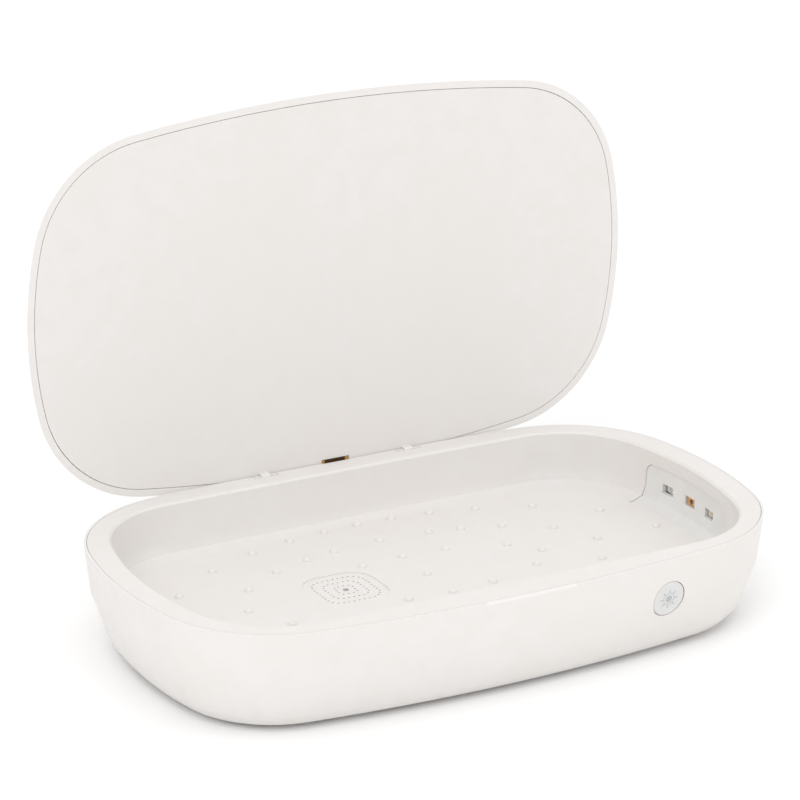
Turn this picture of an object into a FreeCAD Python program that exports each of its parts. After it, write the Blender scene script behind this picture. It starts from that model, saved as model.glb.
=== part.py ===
import FreeCAD, Part
import math
import os
from FreeCAD import Vector

os.makedirs("parts", exist_ok=True)

# Toothbrush sanitizer: a pebble-shaped UV box with a hinged lid, drawn with the lid standing open.
# Millimetres. X runs along the length, +Y to the hinge side, +Z up from the resting plane.

# ---- overall form ----
LENGTH = 220.0
WIDTH = 132.0
SIDE_BOW = 11.6
END_RADIUS = 133.0
CORNER_RADIUS = 42.0
RIM_Z = 36.0
FOOT_PROUD = 0.8
FLANK_RADIUS = 71.0
BOTTOM_RADIUS = 9.0
FLANK_FLATS = 2
BOTTOM_FLATS = 2

# ---- base shell, tray and cover ----
SHELL_WALL = 2.2
SHELL_LIP = 0.8
SEAM = 0.15
FLANGE = 2.0
END_RIM = 9.0
SIDE_RIM = 11.4
WELL_LENGTH = LENGTH - 2 * END_RIM
WELL_WIDTH = WIDTH - 2 * SIDE_RIM
WELL_SIDE_RADIUS = 5000.0
WELL_END_RADIUS = 120.0
WELL_CORNER_RADIUS = 30.7
WELL_DEPTH = 18.0
WELL_DRAFT = 2.5
WELL_COVE = 4.5
COVE_FLATS = 2
WELL_EDGE = 0.7
TRAY_WALL = 1.6
HIDDEN_FLATS = 6
COVER_INSET = 18.0
COVER_LENGTH = LENGTH - 2 * COVER_INSET
COVER_WIDTH = WIDTH - 2 * COVER_INSET
COVER_CORNER = 34.0
COVER_STEP = 3.0
COVER_PLATE = 1.2
COVER_GAP = 0.2
CORE_INSET = 26.0

# ---- studs and vent grille in the well floor ----
STUD_DIAMETER = 2.8
STUD_TOP = 1.0
STUD_HEIGHT = 1.1
STUD_SIDES = 6
STUD_STEP = 15.0
STUD_RINGS = [
    (13.5, 6.6, [0, 1, 2, 3, 4, 5, 6]),
    (36.5, 22.4, [0, 2, 3, 4, 5, 6]),
    (57.8, 38.0, [0, 3, 5, 6]),
]
STUD_CLEAR = 16.0
GRILLE_X = -28.8
GRILLE_Y = 2.0
GRILLE_SIZE = 27.0
GRILLE_CORNER = 9.0
GRILLE_THICK = 1.2
GRILLE_RIM = 1.0
DISH_DEPTH = 0.35
HOLE_DIAMETER = 0.9
HOLE_SIDES = 4
CENTRE_HOLE = 2.2
HOLE_RINGS = [(3.1, 12), (6.2, 24), (9.3, 36)]
PAD_SIZE = 25.0
PAD_THICK = 2.6
PAD_GAP = 0.3
HOLDER_WALL = 1.2
HOLDER_DEPTH = 5.0

# ---- lamp window ----
WINDOW_WIDTH = 47.0
WINDOW_DROP = 5.1
WINDOW_CORNER = 3.2
WINDOW_REACH = 7.0
WINDOW_RECESS = 0.3
WINDOW_WALL = 1.5
WINDOW_GAP = 0.15
WINDOW_BACK = 1.0
WINDOW_LAP = 1.4
WINDOW_FLATS = 16
APERTURE_WIDTH = 5.6
APERTURE_HEIGHT = 3.2
APERTURE_PITCH = 12.5
APERTURE_Z = 6.1
LAMP_WIDTH = 3.5
LAMP_HEIGHT = 2.8
LAMP_THICK = 0.7
LENS_MARGIN = 0.35
LENS_PROUD = 0.15
LAMP_BOARD_WIDTH = 30.0
LAMP_BOARD_HEIGHT = 5.0
LAMP_BOARD_THICK = 0.6
BOARD_ROOM = 0.6
LAMP_GAP = 0.2

# ---- lid ----
LID_THICK = 9.5
LID_GAP = 0.3
LID_WALL = 2.0
LID_LAND = 2.4
LID_SEAM = 0.2
LID_PANEL = 1.6
LID_LEAN = 25.0
LID_FLANK_RADIUS = 60.0
LID_TOP_RADIUS = 5.0
LID_TOP_FLATS = 2
LID_HOLLOW = 6.0
MAGNET_DIAMETER = 5.0
MAGNET_THICK = 2.0
MAGNET_X = -40.0
MAGNET_INSET = 11.0
COIL_OUTER = 44.0
COIL_INNER = 20.0
COIL_THICK = 0.9
FERRITE_DIAMETER = 50.0
FERRITE_THICK = 0.8

# ---- hinge ----
HINGE_DROP = 0.8
HINGE_INSET = 3.8
KNUCKLE_RADIUS = 1.3
KNUCKLE_X = 27.0
KNUCKLE_WIDTH = 3.2
EAR_WIDTH = 2.4
EAR_GAP = 0.2
PIN_DIAMETER = 1.0
PIN_CLEARANCE = 0.05
SWING_GAP = 0.3
BEVEL_GAP = 0.2
POCKET_WALL = 1.6
FLEX_WIDTH = 9.5
FLEX_THICK = 0.3
FLEX_GAP = 0.4
FLEX_TAIL = 1.4

# ---- finger notch and button ----
NOTCH_WIDTH = 32.4
NOTCH_DEPTH = 1.1
NOTCH_INSET = 0.7
BUTTON_X = 52.5
BUTTON_DROP = 14.2
BUTTON_DIAMETER = 12.2
BUTTON_GAP = 0.2
BUTTON_RECESS = 0.4
BUTTON_THICK = 2.3
BUTTON_EDGE = 0.3
BUTTON_ROOM = 6.6
BUTTON_FLANGE = 1.0
BUTTON_FLANGE_THICK = 0.6
BUTTON_STEM = 3.0
BUTTON_STEM_LENGTH = 0.3
BUTTON_TRAVEL = 0.5
ICON_DOT = 2.6
ICON_RAY_START = 1.75
ICON_RAY_ENDS = (3.4, 2.5)
ICON_RAY_WIDTHS = (0.44, 0.34)
ICON_RAYS = 16
ICON_DEPTH = 0.25
SWITCH_SIZE = 4.0
SWITCH_THICK = 0.8
SWITCH_PLUNGER = 2.0
PLUNGER_RISE = 0.2
SWITCH_GAP = 0.1
BUTTON_BOARD_LENGTH = 11.0
BUTTON_BOARD_WIDTH = 6.0
BUTTON_BOARD_THICK = 0.6

# ---- electronics ----
BOARD_LENGTH = 64.0
BOARD_WIDTH = 34.0
BOARD_THICK = 1.6
BOARD_MARGIN = 6.3
BOARD_Z = 7.0
BOARD_HOLE_INSET = 4.0
SOCKET_WIDTH = 8.94
SOCKET_HEIGHT = 3.26
SOCKET_DEPTH = 7.35
SOCKET_WALL = 0.35
SOCKET_CORNER = 1.45
SOCKET_BACK = 1.2
SOCKET_GAP = 0.2
SOCKET_RECESS = 0.5
TONGUE_WIDTH = 6.6
TONGUE_THICK = 0.7
TONGUE_RECESS = 0.9
CHIP_PLACE = (-10.0, 0.0)
CHIP_SIZE = (7.0, 7.0, 1.2)
INDUCTOR_PLACE = (0.0, 2.0)
INDUCTOR_SIZE = (6.0, 6.0, 3.0)
CONNECTOR_PLACE = (-18.0, -12.0)
CONNECTOR_SIZE = (10.0, 5.0, 5.0)
CAPACITOR_PLACES = [(12.0, 8.0), (18.5, 8.0)]
CAPACITOR_DIAMETER = 5.0
CAPACITOR_HEIGHT = 5.4
SENSOR_LENGTH = 6.0
SENSOR_WIDTH = 2.2
SENSOR_HEIGHT = 3.0

# ---- fasteners and feet ----
BOSS_DIAMETER = 6.5
SCREW_CORE = 1.8
SCREW_HEAD = 4.4
SCREW_HEAD_HEIGHT = 1.4
SCREW_SLACK = 0.6
SCREW_X = 82.0
SCREW_Y = 20.0
BOTTOM_SCREW_LENGTH = 10.0
BOARD_SCREW_LENGTH = 6.0
FOOT_X = 64.0
FOOT_Y = 36.0
FOOT_DIAMETER = 10.0
FOOT_SEAT = 0.8
FOOT_EDGE = 0.4
FOOT_GAP = 0.3

# ---- how finely the small round features are faceted ----
SMALL_SIDES = 6
ROUND_SIDES = 12
BUTTON_SIDES = 24
COIL_SIDES = 24
CORNER_FLATS = 4

# ---- derived places ----
SIDE_RADIUS = (LENGTH ** 2 / 4 + SIDE_BOW ** 2) / (2 * SIDE_BOW)
FLOOR_Z = RIM_Z - WELL_DEPTH
TRAY_UNDER = FLOOR_Z - TRAY_WALL
SHELL_BOTTOM = FOOT_PROUD
LID_FACE = RIM_Z + LID_GAP
HINGE_Y = WIDTH / 2 - HINGE_INSET
HINGE_Z = RIM_Z - HINGE_DROP
OPEN_FACE_Y = HINGE_Y + LID_FACE - HINGE_Z
POCKET_Y = OPEN_FACE_Y - SWING_GAP
POCKET_Z = HINGE_Z - HINGE_INSET - SWING_GAP
KNUCKLE_HALF = KNUCKLE_WIDTH / 2
EAR_IN = KNUCKLE_HALF + EAR_GAP
EAR_OUT = EAR_IN + EAR_WIDTH
SADDLE_HALF = EAR_OUT + EAR_GAP
BAY_Y = HINGE_Y - KNUCKLE_RADIUS - EAR_GAP
BOARD_TOP = BOARD_Z + BOARD_THICK
SOCKET_Z = BOARD_TOP + SOCKET_HEIGHT / 2
APERTURE_FLOOR = FLOOR_Z + APERTURE_Z
LAMP_X = WELL_LENGTH / 2 + TRAY_WALL + WINDOW_BACK + LAMP_GAP
BOSS_END = SHELL_BOTTOM + SHELL_WALL + SCREW_HEAD_HEIGHT
MERGE = 0.5
PAST = 1.0
UP = Vector(0, 0, 1)
ALONG = Vector(1, 0, 0)


def save(shape, name):
    shape.exportStep("parts/" + name + ".step")


# ---- plain building blocks ----

def box(x0, x1, y0, y1, z0, z1):
    return Part.makeBox(x1 - x0, y1 - y0, z1 - z0, Vector(x0, y0, z0))


def fuse(shapes):
    return shapes[0].multiFuse(shapes[1:]).removeSplitter()


def corners(x, y):
    return [(side * x, end * y) for side in (-1, 1) for end in (-1, 1)]


def soft_block(x, y, length, width, corner, z_low, z_high, flats=CORNER_FLATS):
    """An upright block of rectangular section whose round corners are cut as a few flats."""
    points = []
    for quarter, (side, end) in enumerate([(1, 1), (-1, 1), (-1, -1), (1, -1)]):
        centre_x = x + side * (length / 2 - corner)
        centre_y = y + end * (width / 2 - corner)
        for step in range(flats + 1):
            angle = math.radians(90 * (quarter + step / flats))
            across = corner * math.cos(angle)
            along = corner * math.sin(angle)
            points.append(Vector(centre_x + across, centre_y + along, z_low))
    return Part.Face(Part.makePolygon(points + points[:1])).extrude(Vector(0, 0, z_high - z_low))


def skinned(loops):
    """A solid of flat faces between level loops of as many points each, closed at both ends."""
    faces = [Part.Face(Part.makePolygon(loop + loop[:1])) for loop in (loops[0], loops[-1])]
    for low, high in zip(loops, loops[1:]):
        for step in range(len(low)):
            ring = [low[step - 1], low[step], high[step], high[step - 1], low[step - 1]]
            faces.append(Part.Face(Part.makePolygon(ring)))
    solid = Part.Solid(Part.makeShell(faces))
    if solid.Volume < 0:
        solid.reverse()
    return solid


def turned(x, y, rings, sides):
    """A faceted turned piece: rings of (diameter, z) from the bottom up, with flat ends."""
    loops = []
    for diameter, z in rings:
        loop = []
        for step in range(sides):
            angle = math.radians(360 * (step + 0.5) / sides)
            reach = diameter / 2
            loop.append(Vector(x + reach * math.cos(angle), y + reach * math.sin(angle), z))
        loops.append(loop)
    return skinned(loops)


def post(x, y, z_low, z_high, diameter, sides=SMALL_SIDES):
    return turned(x, y, [(diameter, z_low), (diameter, z_high)], sides)


# ---- the soft outline and the forms carried round it ----

def outline_arcs(length, width, side_radius, end_radius, corner_radius):
    """Eight tangent arcs of a soft rectangle as (x, y, radius, start angle, sweep)."""
    side_y = width / 2 - side_radius
    end_x = length / 2 - end_radius
    gap = math.hypot(end_x, side_y)
    to_side = side_radius - corner_radius
    to_end = end_radius - corner_radius
    along = (gap ** 2 + to_end ** 2 - to_side ** 2) / (2 * gap)
    across = math.sqrt(to_end ** 2 - along ** 2)
    unit_x = -end_x / gap
    unit_y = side_y / gap
    corner_x = end_x + along * unit_x - across * unit_y
    corner_y = along * unit_y + across * unit_x
    lean = math.degrees(math.atan2(corner_x, corner_y - side_y))
    rise = math.degrees(math.atan2(corner_y, corner_x - end_x))
    turn = 90 - lean - rise
    return [
        (end_x, 0, end_radius, -rise, 2 * rise),
        (corner_x, corner_y, corner_radius, rise, turn),
        (0, side_y, side_radius, 90 - lean, 2 * lean),
        (-corner_x, corner_y, corner_radius, 90 + lean, turn),
        (-end_x, 0, end_radius, 180 - rise, 2 * rise),
        (-corner_x, -corner_y, corner_radius, 180 + rise, turn),
        (0, -side_y, side_radius, 270 - lean, 2 * lean),
        (corner_x, -corner_y, corner_radius, 270 + lean, turn),
    ]


BODY = outline_arcs(LENGTH, WIDTH, SIDE_RADIUS, END_RADIUS, CORNER_RADIUS)
WELL = outline_arcs(WELL_LENGTH, WELL_WIDTH, WELL_SIDE_RADIUS, WELL_END_RADIUS, WELL_CORNER_RADIUS)


def on_arc(arc, angle, inset, z):
    x, y, radius = arc[0:3]
    bearing = math.radians(angle)
    return Vector(x + (radius - inset) * math.cos(bearing), y + (radius - inset) * math.sin(bearing), z)


def plate(arcs, inset, z_low, z_high):
    """A slab of the outline drawn in by inset."""
    edges = []
    for arc in arcs:
        start, sweep = arc[3:5]
        ends = [on_arc(arc, start + sweep * part, inset, z_low) for part in (0, 0.5, 1)]
        edges.append(Part.Arc(*ends).toShape())
    return Part.Face(Part.Wire(edges)).extrude(Vector(0, 0, z_high - z_low))


def moulded(arcs, profile):
    """Carry a side profile round the outline and fill the middle.

    The profile is a list of (inset, z) points from the top face, out round the side, to the bottom face.
    """
    top = profile[0][1]
    bottom = profile[-1][1]
    section = [(CORE_INSET, top)] + profile + [(CORE_INSET, bottom), (CORE_INSET, top)]
    pieces = [plate(arcs, CORE_INSET, bottom, top)]
    for arc in arcs:
        face = Part.Face(Part.makePolygon([on_arc(arc, arc[3], inset, z) for inset, z in section]))
        pieces.append(face.revolve(Vector(arc[0], arc[1], 0), UP, arc[4]))
    return fuse(pieces)


def faceted(arcs, profile, flats):
    """The same for hidden faces, with each arc of the outline as a few flats."""
    loops = []
    for inset, z in reversed(profile):
        loop = []
        for arc in arcs:
            loop += [on_arc(arc, arc[3] + arc[4] * step / flats, inset, z) for step in range(flats)]
        loops.append(loop)
    return skinned(loops)


def round_points(centre, radius, start, end, flats):
    """Profile points along an arc between two angles in degrees."""
    points = []
    for step in range(flats + 1):
        angle = math.radians(start + (end - start) * step / flats)
        points.append((centre[0] + radius * math.cos(angle), centre[1] + radius * math.sin(angle)))
    return points


def flank_meet():
    """Where the flank's long arc meets the tight one at the bottom: its angle and that arc's centre."""
    corner_z = SHELL_BOTTOM + BOTTOM_RADIUS
    fall = RIM_Z - corner_z
    corner_in = FLANK_RADIUS - math.sqrt((FLANK_RADIUS - BOTTOM_RADIUS) ** 2 - fall ** 2)
    angle = 180 + math.degrees(math.asin(fall / (FLANK_RADIUS - BOTTOM_RADIUS)))
    return angle, (corner_in, corner_z)


def base_form():
    """Outside of the base: a long arc tangent to the rim, then a tight one to the bottom."""
    meet, corner = flank_meet()
    side = round_points((FLANK_RADIUS, RIM_Z), FLANK_RADIUS, 180, meet, FLANK_FLATS)
    under = round_points(corner, BOTTOM_RADIUS, meet, 270, BOTTOM_FLATS)
    return moulded(BODY, side + under[1:])


def base_hollow():
    """Inside of the base shell: a flat slope a wall's thickness in, and a chamfer to the floor."""
    meet, corner = flank_meet()
    slope = round_points((FLANK_RADIUS, RIM_Z), FLANK_RADIUS - SHELL_WALL, 180, meet, 1)
    return faceted(BODY, slope + [(corner[0], SHELL_BOTTOM + SHELL_WALL)], HIDDEN_FLATS)


def lamp_pocket():
    """Hollow in the end wall behind the lamp board."""
    half = LAMP_BOARD_WIDTH / 2 + BOARD_ROOM
    rise = LAMP_BOARD_HEIGHT / 2 + BOARD_ROOM
    low = LAMP_X
    high = LAMP_X + LAMP_THICK + LAMP_BOARD_THICK + LAMP_GAP
    return box(low, high, -half, half, APERTURE_FLOOR - rise, APERTURE_FLOOR + rise)


def well_slope(grow):
    """The well's drafted wall moved out by grow: its inset at the rim and its lean."""
    return -grow / math.cos(math.radians(WELL_DRAFT)), math.tan(math.radians(WELL_DRAFT))


def well_profile(grow, through):
    """Profile of the well moved out by grow: rim edge if it goes through, drafted wall and cove."""
    start, lean = well_slope(grow)
    cove = WELL_COVE + grow
    cove_z = FLOOR_Z - grow + cove
    cove_in = start + (RIM_Z - cove_z) * lean + cove / math.cos(math.radians(WELL_DRAFT))
    if through:
        profile = [(start - WELL_EDGE, RIM_Z + PAST), (start - WELL_EDGE, RIM_Z)]
        profile.append((start + WELL_EDGE * lean, RIM_Z - WELL_EDGE))
    else:
        profile = [(start + FLANGE / 2 * lean, RIM_Z - FLANGE / 2)]
    return profile + round_points((cove_in, cove_z), cove, 180 - WELL_DRAFT, 270, COVE_FLATS)


def well_hollow():
    return moulded(WELL, well_profile(0, True))


def well_outside(grow):
    """Hidden back of the tray: straight down to the underside."""
    start = well_slope(grow)[0]
    profile = [(start, RIM_Z - FLANGE / 2), (start, FLOOR_Z + WELL_COVE), (start + WELL_COVE, FLOOR_Z - grow)]
    return faceted(WELL, profile, HIDDEN_FLATS)


# ---- hinge geometry, drawn with the lid closed ----

def hinge_bar(x_low, x_high, radius):
    bar = post(0, 0, x_low, x_high, 2 * radius, ROUND_SIDES)
    bar.Placement = FreeCAD.Placement(Vector(0, HINGE_Y, HINGE_Z), FreeCAD.Rotation(UP, ALONG))
    return bar


def opened(shape):
    """Turn a lid piece from closed to standing open."""
    standing = shape.copy()
    standing.rotate(Vector(0, HINGE_Y, HINGE_Z), ALONG, -90)
    return standing


def swing_room():
    """Room behind the rim that the lid's edge swings through, with a bevel along the rim."""
    bevel = math.sqrt(2) * (LID_FACE - HINGE_Z - BEVEL_GAP)
    top = RIM_Z + PAST
    bevel_top_y = HINGE_Y + bevel - (top - HINGE_Z)
    bevel_low_z = HINGE_Z + bevel - (POCKET_Y - HINGE_Y)
    section = [(POCKET_Y, POCKET_Z), (WIDTH, POCKET_Z), (WIDTH, top), (bevel_top_y, top)]
    section += [(POCKET_Y, bevel_low_z), (POCKET_Y, POCKET_Z)]
    face = Part.Face(Part.makePolygon([Vector(-LENGTH / 2, y, z) for y, z in section]))
    return face.extrude(Vector(LENGTH, 0, 0))


def saddle_bay(middle):
    return box(middle - SADDLE_HALF, middle + SADDLE_HALF, BAY_Y, WIDTH, POCKET_Z, RIM_Z + PAST)


def hinge_pocket():
    """The swing room, a bay for each hinge and a slot for the flat cable between them."""
    half = FLEX_WIDTH / 2 + FLEX_GAP
    slot = box(-half, half, POCKET_Y - FLEX_THICK - FLEX_GAP, WIDTH, POCKET_Z, RIM_Z + PAST)
    return fuse([swing_room(), saddle_bay(-KNUCKLE_X), saddle_bay(KNUCKLE_X), slot])


def hinge_brackets():
    """Two saddles, each a foot with a pair of ears flush with the rim and bored for the pin."""
    saddles = []
    for middle in (-KNUCKLE_X, KNUCKLE_X):
        front = BAY_Y + EAR_GAP
        block = box(middle - EAR_OUT, middle + EAR_OUT, front, POCKET_Y, POCKET_Z, RIM_Z)
        gap_low = HINGE_Z - KNUCKLE_RADIUS - EAR_GAP
        gap = box(middle - EAR_IN, middle + EAR_IN, front - PAST, WIDTH, gap_low, RIM_Z + PAST)
        bore = hinge_bar(middle - EAR_OUT, middle + EAR_OUT, PIN_DIAMETER / 2)
        saddles.append(block.cut(gap).cut(swing_room()).cut(bore))
    return Part.makeCompound(saddles)


def hinge_pins():
    reach = EAR_OUT
    return Part.makeCompound([
        hinge_bar(middle - reach, middle + reach, PIN_DIAMETER / 2) for middle in (-KNUCKLE_X, KNUCKLE_X)
    ])


# ---- button, along the outward normal of the flank ----

def button_frame():
    """Placement whose +Z is the outward normal where the button stands."""
    rise = math.asin(BUTTON_DROP / FLANK_RADIUS)
    radius = SIDE_RADIUS - FLANK_RADIUS * (1 - math.cos(rise))
    lean = math.asin(BUTTON_X / radius)
    centre_y = SIDE_RADIUS - WIDTH / 2
    place = Vector(radius * math.sin(lean), centre_y - radius * math.cos(lean), RIM_Z - BUTTON_DROP)
    normal = Vector(math.sin(lean) * math.cos(rise), -math.cos(lean) * math.cos(rise), -math.sin(rise))
    across = Vector(math.cos(lean), math.sin(lean), 0)
    facing = FreeCAD.Rotation(across, normal.cross(across), normal, "ZXY")
    return FreeCAD.Placement(place, facing)


BUTTON = button_frame()
CAP_FACE = -BUTTON_RECESS
CAP_BACK = CAP_FACE - BUTTON_THICK
STEM_START = CAP_BACK - BUTTON_FLANGE_THICK
SWITCH_TOP = STEM_START - BUTTON_STEM_LENGTH - BUTTON_TRAVEL - SWITCH_GAP


def at_button(shape):
    moved = shape.copy()
    moved.Placement = BUTTON.multiply(moved.Placement)
    return moved


def icon_form():
    """Generic lamp mark: a dot with long and short rays."""
    low = CAP_FACE - ICON_DEPTH
    pieces = [post(0, 0, low, CAP_FACE, ICON_DOT, ROUND_SIDES)]
    for step in range(ICON_RAYS):
        reach = ICON_RAY_ENDS[step % 2]
        half = ICON_RAY_WIDTHS[step % 2] / 2
        ray = box(ICON_RAY_START, reach, -half, half, low, CAP_FACE)
        ray.rotate(Vector(0, 0, 0), UP, step * 360 / ICON_RAYS)
        pieces.append(ray)
    return Part.makeCompound(pieces)


def button_cap():
    """Round cap with a retaining flange behind the wall and a stem for the switch."""
    rings = [(BUTTON_DIAMETER, CAP_BACK), (BUTTON_DIAMETER, CAP_FACE - BUTTON_EDGE)]
    cap = turned(0, 0, rings + [(BUTTON_DIAMETER - 2 * BUTTON_EDGE, CAP_FACE)], BUTTON_SIDES)
    flange = post(0, 0, STEM_START, CAP_BACK, BUTTON_DIAMETER + 2 * BUTTON_FLANGE, ROUND_SIDES)
    stem = post(0, 0, STEM_START - BUTTON_STEM_LENGTH, STEM_START, BUTTON_STEM)
    return at_button(fuse([cap, flange, stem]).cut(icon_form()))


def tact_switch():
    half = SWITCH_SIZE / 2
    shoulder = SWITCH_TOP - PLUNGER_RISE
    body = box(-half, half, -half, half, SWITCH_TOP - SWITCH_THICK, shoulder)
    return at_button(fuse([body, post(0, 0, shoulder, SWITCH_TOP, SWITCH_PLUNGER)]))


def button_board():
    top = SWITCH_TOP - SWITCH_THICK
    half_x = BUTTON_BOARD_LENGTH / 2
    half_y = BUTTON_BOARD_WIDTH / 2
    return at_button(box(-half_x, half_x, -half_y, half_y, top - BUTTON_BOARD_THICK, top))


# ---- charging socket ----

def socket_mouth():
    inset = FLANK_RADIUS - math.sqrt(FLANK_RADIUS ** 2 - (RIM_Z - SOCKET_Z) ** 2)
    return WIDTH / 2 - inset - SOCKET_RECESS


def socket_form(grow, depth):
    """Rounded body of the charging socket, run towards +Y."""
    height = SOCKET_HEIGHT + 2 * grow
    block = soft_block(0, 0, SOCKET_WIDTH + 2 * grow, height, SOCKET_CORNER + grow, 0, depth)
    block.rotate(Vector(0, 0, 0), ALONG, -90)
    block.translate(Vector(0, socket_mouth() - SOCKET_DEPTH, SOCKET_Z))
    return block


BOARD_Y = socket_mouth() - BOARD_MARGIN - BOARD_WIDTH / 2


def usb_c_socket():
    shell = socket_form(0, SOCKET_DEPTH)
    hollow = socket_form(-SOCKET_WALL, SOCKET_DEPTH)
    hollow.translate(Vector(0, SOCKET_BACK, 0))
    mouth = socket_mouth()
    half = TONGUE_WIDTH / 2
    tongue = box(-half, half, mouth - SOCKET_DEPTH, mouth - TONGUE_RECESS,
                 SOCKET_Z - TONGUE_THICK / 2, SOCKET_Z + TONGUE_THICK / 2)
    return fuse([shell.cut(hollow), tongue])


# ---- base ----

def finger_notch():
    """A shallow bevel along the middle of the front edge, for a fingertip under the lid."""
    kept = moulded(BODY, [(NOTCH_INSET, RIM_Z + PAST), (NOTCH_INSET, RIM_Z), (0, RIM_Z - NOTCH_DEPTH)])
    half = NOTCH_WIDTH / 2
    return box(-half, half, -WIDTH, 0, RIM_Z - NOTCH_DEPTH, RIM_Z + PAST).cut(kept)


def pocket_walls():
    """Walls that close the swing room off from the inside."""
    half = math.sqrt(SIDE_RADIUS ** 2 - (SIDE_RADIUS - (WIDTH / 2 - POCKET_Y)) ** 2) + POCKET_WALL
    block = box(-half, half, BAY_Y - POCKET_WALL, WIDTH, POCKET_Z - POCKET_WALL, RIM_Z - FLANGE)
    return block.common(base_form())


def cover_form(step, gap=0.0):
    """The bottom cover's outline: the plate flush with the bottom, or with step the part let further in."""
    inset = 2 * (step + gap)
    low = SHELL_BOTTOM if gap else SHELL_BOTTOM - PAST
    high = SHELL_BOTTOM + (SHELL_WALL if step else COVER_PLATE)
    if step and not gap:
        high += PAST
    corner = COVER_CORNER - step - gap
    return soft_block(0, 0, COVER_LENGTH - inset, COVER_WIDTH - inset, corner, low, high)


def base_shell():
    """Outer bowl of the base with its lip, hinge pocket, bottom opening, button bore and socket mouth."""
    shell = fuse([base_form().cut(base_hollow()).cut(lamp_pocket()), pocket_walls()])
    shell = shell.cut(plate(BODY, SHELL_LIP, RIM_Z - FLANGE, RIM_Z + PAST))
    shell = shell.cut(hinge_pocket())
    shell = shell.cut(cover_form(0)).cut(cover_form(COVER_STEP)).cut(finger_notch())
    seat = 2 * (BUTTON_FLANGE + BUTTON_GAP)
    bore = post(0, 0, -BUTTON_ROOM, PAST, BUTTON_DIAMETER + 2 * BUTTON_GAP, BUTTON_SIDES)
    counterbore = post(0, 0, -BUTTON_ROOM, CAP_BACK + BUTTON_GAP, BUTTON_DIAMETER + seat, ROUND_SIDES)
    shell = shell.cut(at_button(bore)).cut(at_button(counterbore))
    return shell.cut(socket_form(SOCKET_GAP, SOCKET_DEPTH + WIDTH))


def window_form(grow):
    """Upright block of the lamp window's outline, running out through the well's end wall."""
    half = WINDOW_WIDTH / 2 + grow
    top = RIM_Z - WINDOW_DROP + grow
    low = FLOOR_Z - TRAY_WALL - PAST
    block = box(0, LENGTH / 2, -half, half, low, top)
    upper = [edge for edge in block.Edges
             if abs(edge.tangentAt(edge.FirstParameter).x) > 0.9 and edge.CenterOfMass.z > FLOOR_Z]
    block = block.makeFillet(WINDOW_CORNER + grow, upper)
    return block.cut(plate(WELL, WINDOW_REACH + grow, low - PAST, top + PAST))


def aperture_places():
    return [step * APERTURE_PITCH for step in (-1, 0, 1)]


def window_cover():
    """Grey lamp cover that follows the end wall and its cove, with a lap behind the tray."""
    face = faceted(WELL, well_profile(WINDOW_RECESS, True), WINDOW_FLATS)
    back = faceted(WELL, well_profile(WINDOW_RECESS + WINDOW_WALL, False), WINDOW_FLATS)
    skin = back.cut(face).common(window_form(-WINDOW_GAP))
    lap = well_outside(TRAY_WALL + WINDOW_BACK).cut(well_outside(TRAY_WALL))
    above_cove = box(0, LENGTH, -WIDTH, WIDTH, FLOOR_Z + WELL_COVE, RIM_Z)
    lap = lap.common(window_form(WINDOW_LAP)).common(above_cove)
    cover = fuse([skin, lap])
    half_y = APERTURE_WIDTH / 2
    low = APERTURE_FLOOR - APERTURE_HEIGHT / 2
    high = APERTURE_FLOOR + APERTURE_HEIGHT / 2
    for y in aperture_places():
        cover = cover.cut(box(WELL_LENGTH / 2 - WINDOW_REACH, LENGTH, y - half_y, y + half_y, low, high))
    return cover


def lamp(y):
    """Surface-mount lamp package with a round window on its face."""
    body = box(LAMP_X, LAMP_X + LAMP_THICK, y - LAMP_WIDTH / 2, y + LAMP_WIDTH / 2,
               APERTURE_FLOOR - LAMP_HEIGHT / 2, APERTURE_FLOOR + LAMP_HEIGHT / 2)
    lens = post(0, 0, -LENS_PROUD, LAMP_THICK / 2, LAMP_HEIGHT - 2 * LENS_MARGIN, ROUND_SIDES)
    lens.Placement = FreeCAD.Placement(Vector(LAMP_X, y, APERTURE_FLOOR), FreeCAD.Rotation(UP, ALONG))
    return fuse([body, lens])


def lamp_board():
    low = LAMP_X + LAMP_THICK
    half_y = LAMP_BOARD_WIDTH / 2
    half_z = LAMP_BOARD_HEIGHT / 2
    return box(low, low + LAMP_BOARD_THICK, -half_y, half_y, APERTURE_FLOOR - half_z, APERTURE_FLOOR + half_z)


def stud_places():
    """Studs on three ovals set in from the well's sides, leaving out what the grille takes."""
    places = [(0, 0)]
    for inset_x, inset_y, steps in STUD_RINGS:
        reach_x = WELL_LENGTH / 2 - inset_x
        reach_y = WELL_WIDTH / 2 - inset_y
        for step in steps:
            bearing = math.radians(step * STUD_STEP)
            reach = 1 / math.hypot(math.sin(bearing) / reach_x, math.cos(bearing) / reach_y)
            places += corners(reach * math.sin(bearing), reach * math.cos(bearing))
    kept = []
    for place in places:
        off_grille = math.dist(place, (GRILLE_X, GRILLE_Y)) > STUD_CLEAR
        if off_grille and all(math.dist(place, other) > STUD_DIAMETER for other in kept):
            kept.append(place)
    return kept


def stud(x, y):
    """Low stud with a small flat top, its sides run on into the floor."""
    slope = (STUD_DIAMETER - STUD_TOP) / STUD_HEIGHT
    rings = [(STUD_DIAMETER + slope * MERGE, FLOOR_Z - MERGE), (STUD_TOP, FLOOR_Z + STUD_HEIGHT)]
    return turned(x, y, rings, STUD_SIDES)


def board_holes():
    reach_x = BOARD_LENGTH / 2 - BOARD_HOLE_INSET
    reach_y = BOARD_WIDTH / 2 - BOARD_HOLE_INSET
    return [(x, BOARD_Y + y) for x, y in corners(reach_x, reach_y)]


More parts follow.
